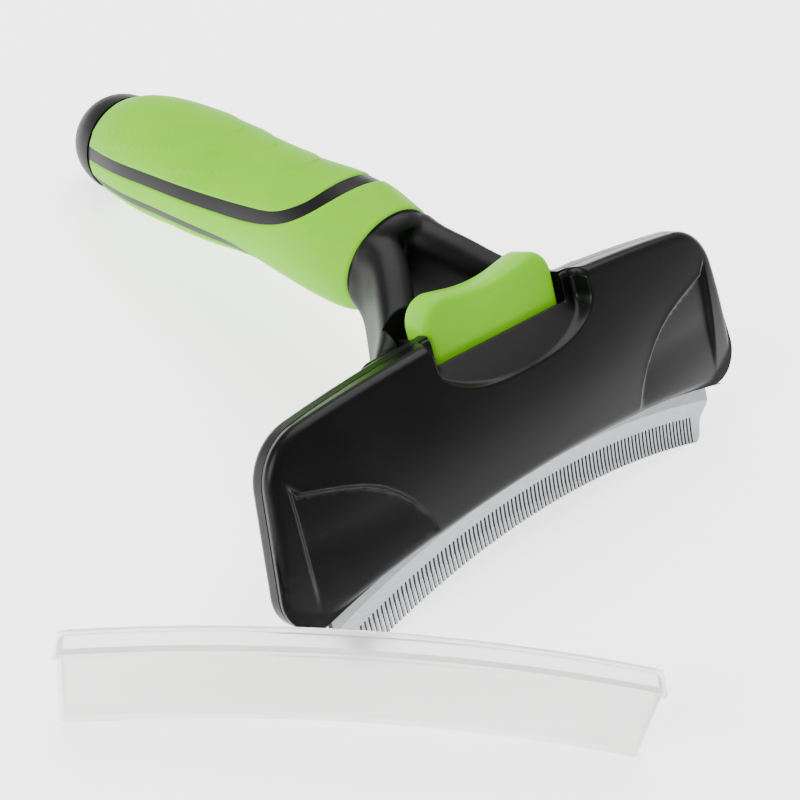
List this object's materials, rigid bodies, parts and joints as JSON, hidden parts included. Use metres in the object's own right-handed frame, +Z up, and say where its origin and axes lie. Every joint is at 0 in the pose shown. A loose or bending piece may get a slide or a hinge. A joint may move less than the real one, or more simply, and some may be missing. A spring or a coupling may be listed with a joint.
{
  "type": "deshedding tool",
  "caption": "Pet deshedding tool: curved fine-tooth steel blade in a wide head with a thumb-pressed hair ejector, forked neck, two-colour soft grip and a loose blade guard",
  "frame": {"origin": "centre of the bounding box of the tool and its loose guard, on the floor", "axes": "X runs along the blade, +Y runs from the head back along the handle, +Z is up; the tool lies on its two blade corners and the butt of its handle"},
  "size_m": [0.1648, 0.2072, 0.0492],
  "materials": {
    "core_black": "satin, fine moulded grain",
    "grip_green": "soft-touch matt overmould",
    "shell_black": "satin, fine moulded grain",
    "button_green": "satin",
    "blade_steel": "satin ground steel",
    "screw_steel": "zinc plated",
    "carriage_plastic": "plain moulded",
    "plate_steel": "rolled strip",
    "insert_brass": "turned brass",
    "rivet_steel": "plain",
    "spring_steel": "drawn wire",
    "pin_steel": "ground",
    "guard_clear": "milky translucent, softly polished"
  },
  "bodies": {
    "tool": {"handle_core": "core_black", "grip_top_pad": "grip_green", "grip_side_collar": "grip_green", "grip_bottom_pad": "grip_green", "butt_cap": "core_black", "rear_shell": "shell_black", "front_cover": "shell_black", "comb_blade": "blade_steel", "blade_screws": "screw_steel", "cover_screws": "screw_steel", "yoke_screws": "screw_steel", "yoke_inserts": "insert_brass", "spring_left": "spring_steel", "spring_right": "spring_steel", "spring_pins": "pin_steel"},
    "ejector": {"push_button": "button_green", "ejector_carriage": "carriage_plastic", "ejector_plate": "plate_steel", "ejector_rivets": "rivet_steel"},
    "guard": {"blade_guard": "guard_clear"}
  },
  "joints": [
    {"name": "eject_press", "type": "slide", "parent": "tool", "child": "ejector", "axis": [0, -0.5135, -0.8581], "range_m": [0, 0.0075], "stiffness_N_per_m": 600, "springref_m": -0.003, "deforming": ["spring_left", "spring_right"]},
    {"name": "guard_lift", "type": "slide", "parent": "tool", "child": "guard", "axis": [0, 0, 1], "range_m": [0, 0.1]}
  ]
}
